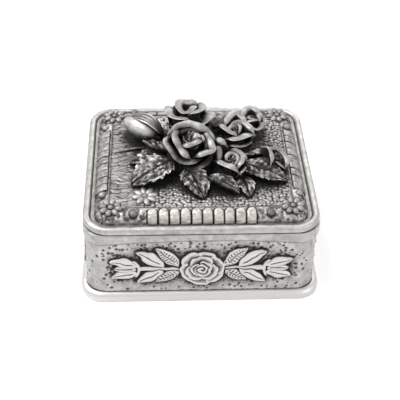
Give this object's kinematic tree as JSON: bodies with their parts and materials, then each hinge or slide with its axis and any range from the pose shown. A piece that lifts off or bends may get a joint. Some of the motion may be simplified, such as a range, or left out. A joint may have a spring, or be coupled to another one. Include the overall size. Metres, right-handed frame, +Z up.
{
  "type": "rosary box",
  "caption": "Small cast pewter rosary box with rounded corners, a hinged lid carrying a bouquet of roses in high relief, rose ornament on the walls and a velvet lining.",
  "frame": {"origin": "centre of the plinth's underside, the face that the box stands on", "axes": "+Z up, +X to the right along the longer side, -Y towards the viewer (the front), hinge at +Y"},
  "size_m": [0.07, 0.0612, 0.0415],
  "materials": {
    "pewter_box": "antiqued pewter, satin, dark in the hollows",
    "pewter_lid": "antiqued pewter, satin, dark in the hollows",
    "pewter_mound": "dark patina",
    "pewter_roses": "antiqued pewter, polished rims",
    "pewter_leaves": "antiqued pewter, satin",
    "velvet": "short pile velvet",
    "felt": "matt felt",
    "steel_pin": "drawn wire"
  },
  "bodies": {
    "base": {"base_box": "pewter_box", "base_felt": "felt", "lining_floor": "velvet", "lining_front": "velvet", "lining_back": "velvet", "lining_left": "velvet", "lining_right": "velvet", "hinge_pin": "steel_pin"},
    "lid": {"lid_casting": "pewter_lid", "lid_lining": "velvet", "bouquet_mound": "pewter_mound", "rose_large": "pewter_roses", "rose_back": "pewter_roses", "rose_right": "pewter_roses", "rose_far": "pewter_roses", "rose_small": "pewter_roses", "rosebud_edge": "pewter_roses", "rosebud_closed": "pewter_roses", "leaf_front_left": "pewter_leaves", "leaf_front_centre": "pewter_leaves", "leaf_front_curled": "pewter_leaves", "leaf_front_right": "pewter_leaves", "leaf_right": "pewter_leaves", "leaf_right_upper": "pewter_leaves", "leaf_back": "pewter_leaves", "leaf_left": "pewter_leaves", "sepal_left": "pewter_leaves", "twig_left": "pewter_leaves"}
  },
  "joints": [
    {"name": "lid_hinge", "type": "hinge", "parent": "base", "child": "lid", "pos_m": [0, 0.02965, 0.0239], "axis": [-1, 0, 0], "range_deg": [0, 100]}
  ]
}
